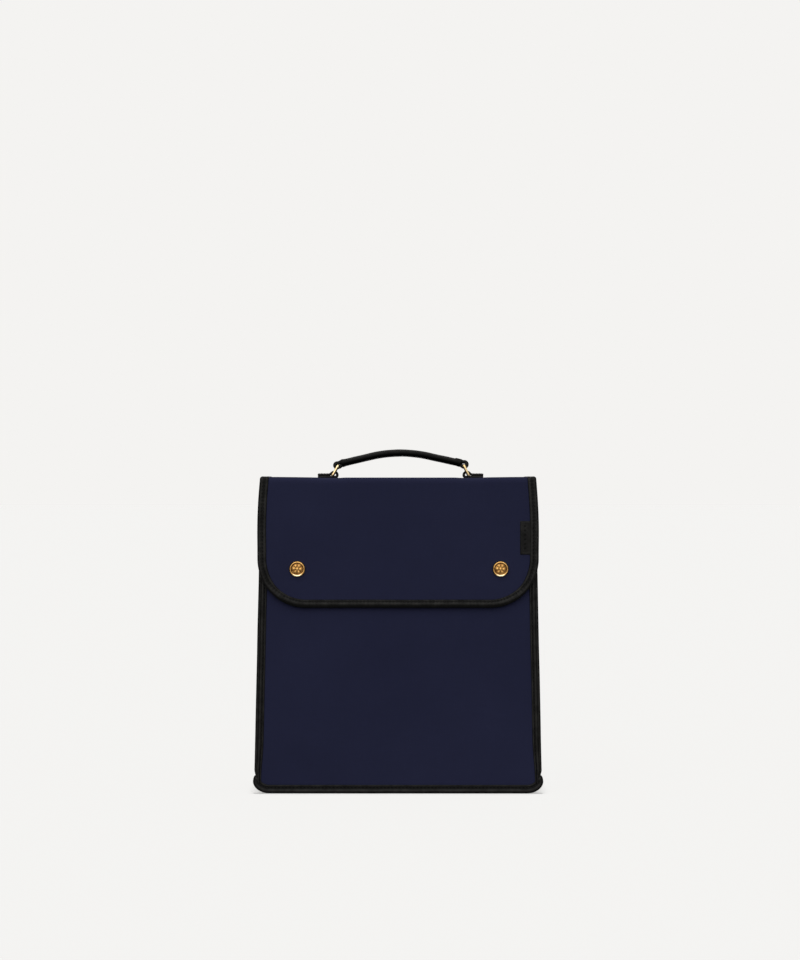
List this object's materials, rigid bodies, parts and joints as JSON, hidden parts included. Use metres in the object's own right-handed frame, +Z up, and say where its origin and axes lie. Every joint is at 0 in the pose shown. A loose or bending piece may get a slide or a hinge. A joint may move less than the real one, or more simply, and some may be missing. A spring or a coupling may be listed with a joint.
{
  "type": "messenger bag",
  "caption": "Upright canvas bag with leather-bound seams, a snap-down flap over the mouth and an arched leather top handle on small rings.",
  "frame": {"origin": "on the floor under the middle of the bag", "axes": "+X to the right seen from the front, the front faces -Y, +Z up"},
  "size_m": [0.3182, 0.1076, 0.3777],
  "materials": {
    "canvas": "matt navy cotton canvas, plain weave",
    "lining": "smooth dark twill",
    "leather": "black smooth leather with a soft sheen",
    "brass": "polished, slightly aged",
    "board": "plain stiffener board",
    "core": "cotton piping cord"
  },
  "bodies": {
    "bag_body": {"front_panel": "canvas", "back_panel": "canvas", "gusset_left": "canvas", "gusset_right": "canvas", "base_panel": "canvas", "front_binding_left": "leather", "front_binding_right": "leather", "front_binding_bottom": "leather", "back_binding_left": "leather", "back_binding_right": "leather", "back_binding_bottom": "leather", "mouth_binding_front": "leather", "mouth_binding_left": "leather", "mouth_binding_right": "leather", "flap_rear_strip": "canvas", "front_board": "board", "back_board": "board", "base_board": "board", "lining_front": "lining", "lining_back": "lining", "lining_left": "lining", "lining_right": "lining", "lining_base": "lining", "inner_pocket": "lining", "inner_pocket_binding": "lining", "snap_stud_left": "brass", "snap_stud_right": "brass", "snap_post_left": "brass", "snap_post_right": "brass", "strap_chape_left": "leather", "strap_chape_right": "leather", "chape_rivet_left": "brass", "chape_rivet_right": "brass"},
    "flap_top": {"flap_top_panel": "canvas", "flap_top_board": "board", "flap_top_lining": "lining", "flap_top_binding_left": "leather", "flap_top_binding_right": "leather", "handle_tab_left": "leather", "handle_tab_right": "leather"},
    "flap_front": {"flap_front_panel": "canvas", "flap_front_lining": "lining", "flap_binding": "leather", "snap_cap_left": "brass", "snap_cap_right": "brass", "snap_socket_left": "brass", "snap_socket_right": "brass", "label_tab": "leather"},
    "ring_left": {"ring_left": "brass"},
    "handle": {"handle_grip": "leather", "handle_core": "core", "handle_loop_left": "leather", "handle_loop_right": "leather"},
    "ring_right": {"ring_right": "brass"},
    "strap_ring_left": {"strap_ring_left": "brass"},
    "strap_ring_right": {"strap_ring_right": "brass"}
  },
  "joints": [
    {"name": "flap_rear_fold", "type": "hinge", "parent": "bag_body", "child": "flap_top", "pos_m": [0, 0.04251, 0.3456], "axis": [-1, 0, 0], "range_deg": [0, 180]},
    {"name": "flap_front_fold", "type": "hinge", "parent": "flap_top", "child": "flap_front", "pos_m": [0, -0.04601, 0.3456], "axis": [-1, 0, 0], "range_deg": [0, 180]},
    {"name": "ring_left_pivot", "type": "hinge", "parent": "flap_top", "child": "ring_left", "pos_m": [-0.0726, 0, 0.3506], "axis": [0, 1, 0], "range_deg": [-15, 15]},
    {"name": "handle_pivot", "type": "hinge", "parent": "ring_left", "child": "handle", "pos_m": [-0.06656, 0, 0.36091], "axis": [0, 1, 0], "range_deg": [-19, 19]},
    {"name": "ring_right_pivot", "type": "hinge", "parent": "flap_top", "child": "ring_right", "pos_m": [0.078, 0, 0.3506], "axis": [0, 1, 0], "range_deg": [-17.5, 17.5]},
    {"name": "strap_ring_left_swing", "type": "hinge", "parent": "bag_body", "child": "strap_ring_left", "pos_m": [-0.14623, 0, 0.316], "axis": [0, 1, 0], "range_deg": [0, 170]},
    {"name": "strap_ring_right_swing", "type": "hinge", "parent": "bag_body", "child": "strap_ring_right", "pos_m": [0.14623, 0, 0.316], "axis": [0, -1, 0], "range_deg": [0, 170]}
  ],
  "couplings": [
    {"joint": "handle_pivot", "follows": "ring_left_pivot", "ratio": -1.0872},
    {"joint": "ring_right_pivot", "follows": "ring_left_pivot", "ratio": 1}
  ]
}
